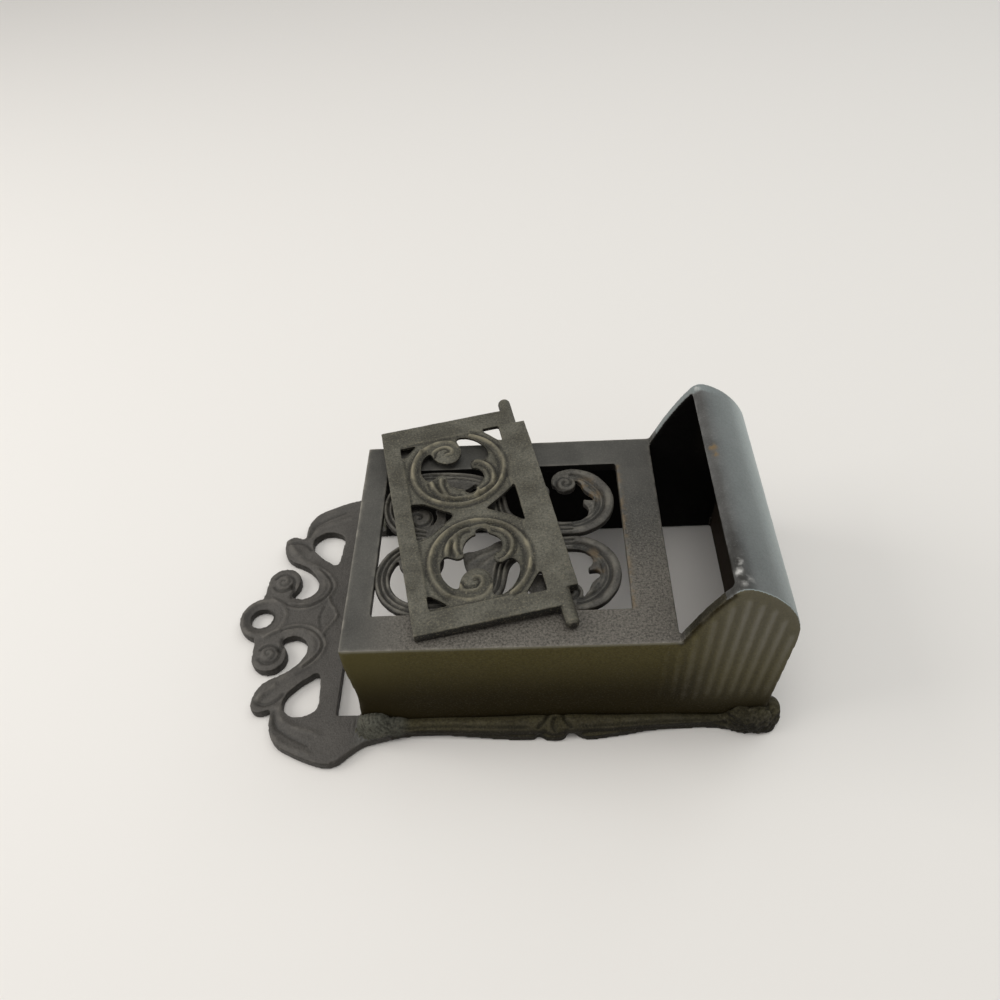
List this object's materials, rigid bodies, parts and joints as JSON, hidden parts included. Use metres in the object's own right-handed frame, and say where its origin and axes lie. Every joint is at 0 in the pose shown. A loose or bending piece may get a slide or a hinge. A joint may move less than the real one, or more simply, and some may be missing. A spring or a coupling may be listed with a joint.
{
  "type": "match holder",
  "caption": "Wall-hung cast iron match holder: pierced box with scrolled crest, open curled trough with ribbed strikers, and a loose pierced lid on cast pins.",
  "frame": {"origin": "centre of the hanging hole, in the back plane that lies against the wall", "axes": "+X from the crest to the trough, which is down on a wall; +Z out of the wall, along the hanging hole; +Y to the right of someone facing the holder"},
  "size_m": [0.1679, 0.1101, 0.0625],
  "materials": {
    "holder_iron": "blackened, fine sand-cast grain",
    "lid_iron": "worn grey brown, rubbed on the ridges"
  },
  "bodies": {
    "holder": {"crest": "holder_iron", "crest_bar": "holder_iron", "left_border": "holder_iron", "right_border": "holder_iron", "left_top_leaf": "holder_iron", "right_top_leaf": "holder_iron", "left_foot_leaf": "holder_iron", "right_foot_leaf": "holder_iron", "left_wall": "holder_iron", "right_wall": "holder_iron", "front_panel": "holder_iron", "left_front_scroll": "holder_iron", "right_front_scroll": "holder_iron", "trough_lip": "holder_iron", "left_striker": "holder_iron", "right_striker": "holder_iron"},
    "lid": {"lid_frame": "lid_iron", "lid_left_scroll": "lid_iron", "lid_right_scroll": "lid_iron", "lid_left_pin": "lid_iron", "lid_right_pin": "lid_iron"}
  },
  "joints": [
    {"name": "lid_lift", "type": "slide", "parent": "holder", "child": "lid", "axis": [0, 0, 1], "range_m": [0, 0.06]}
  ]
}
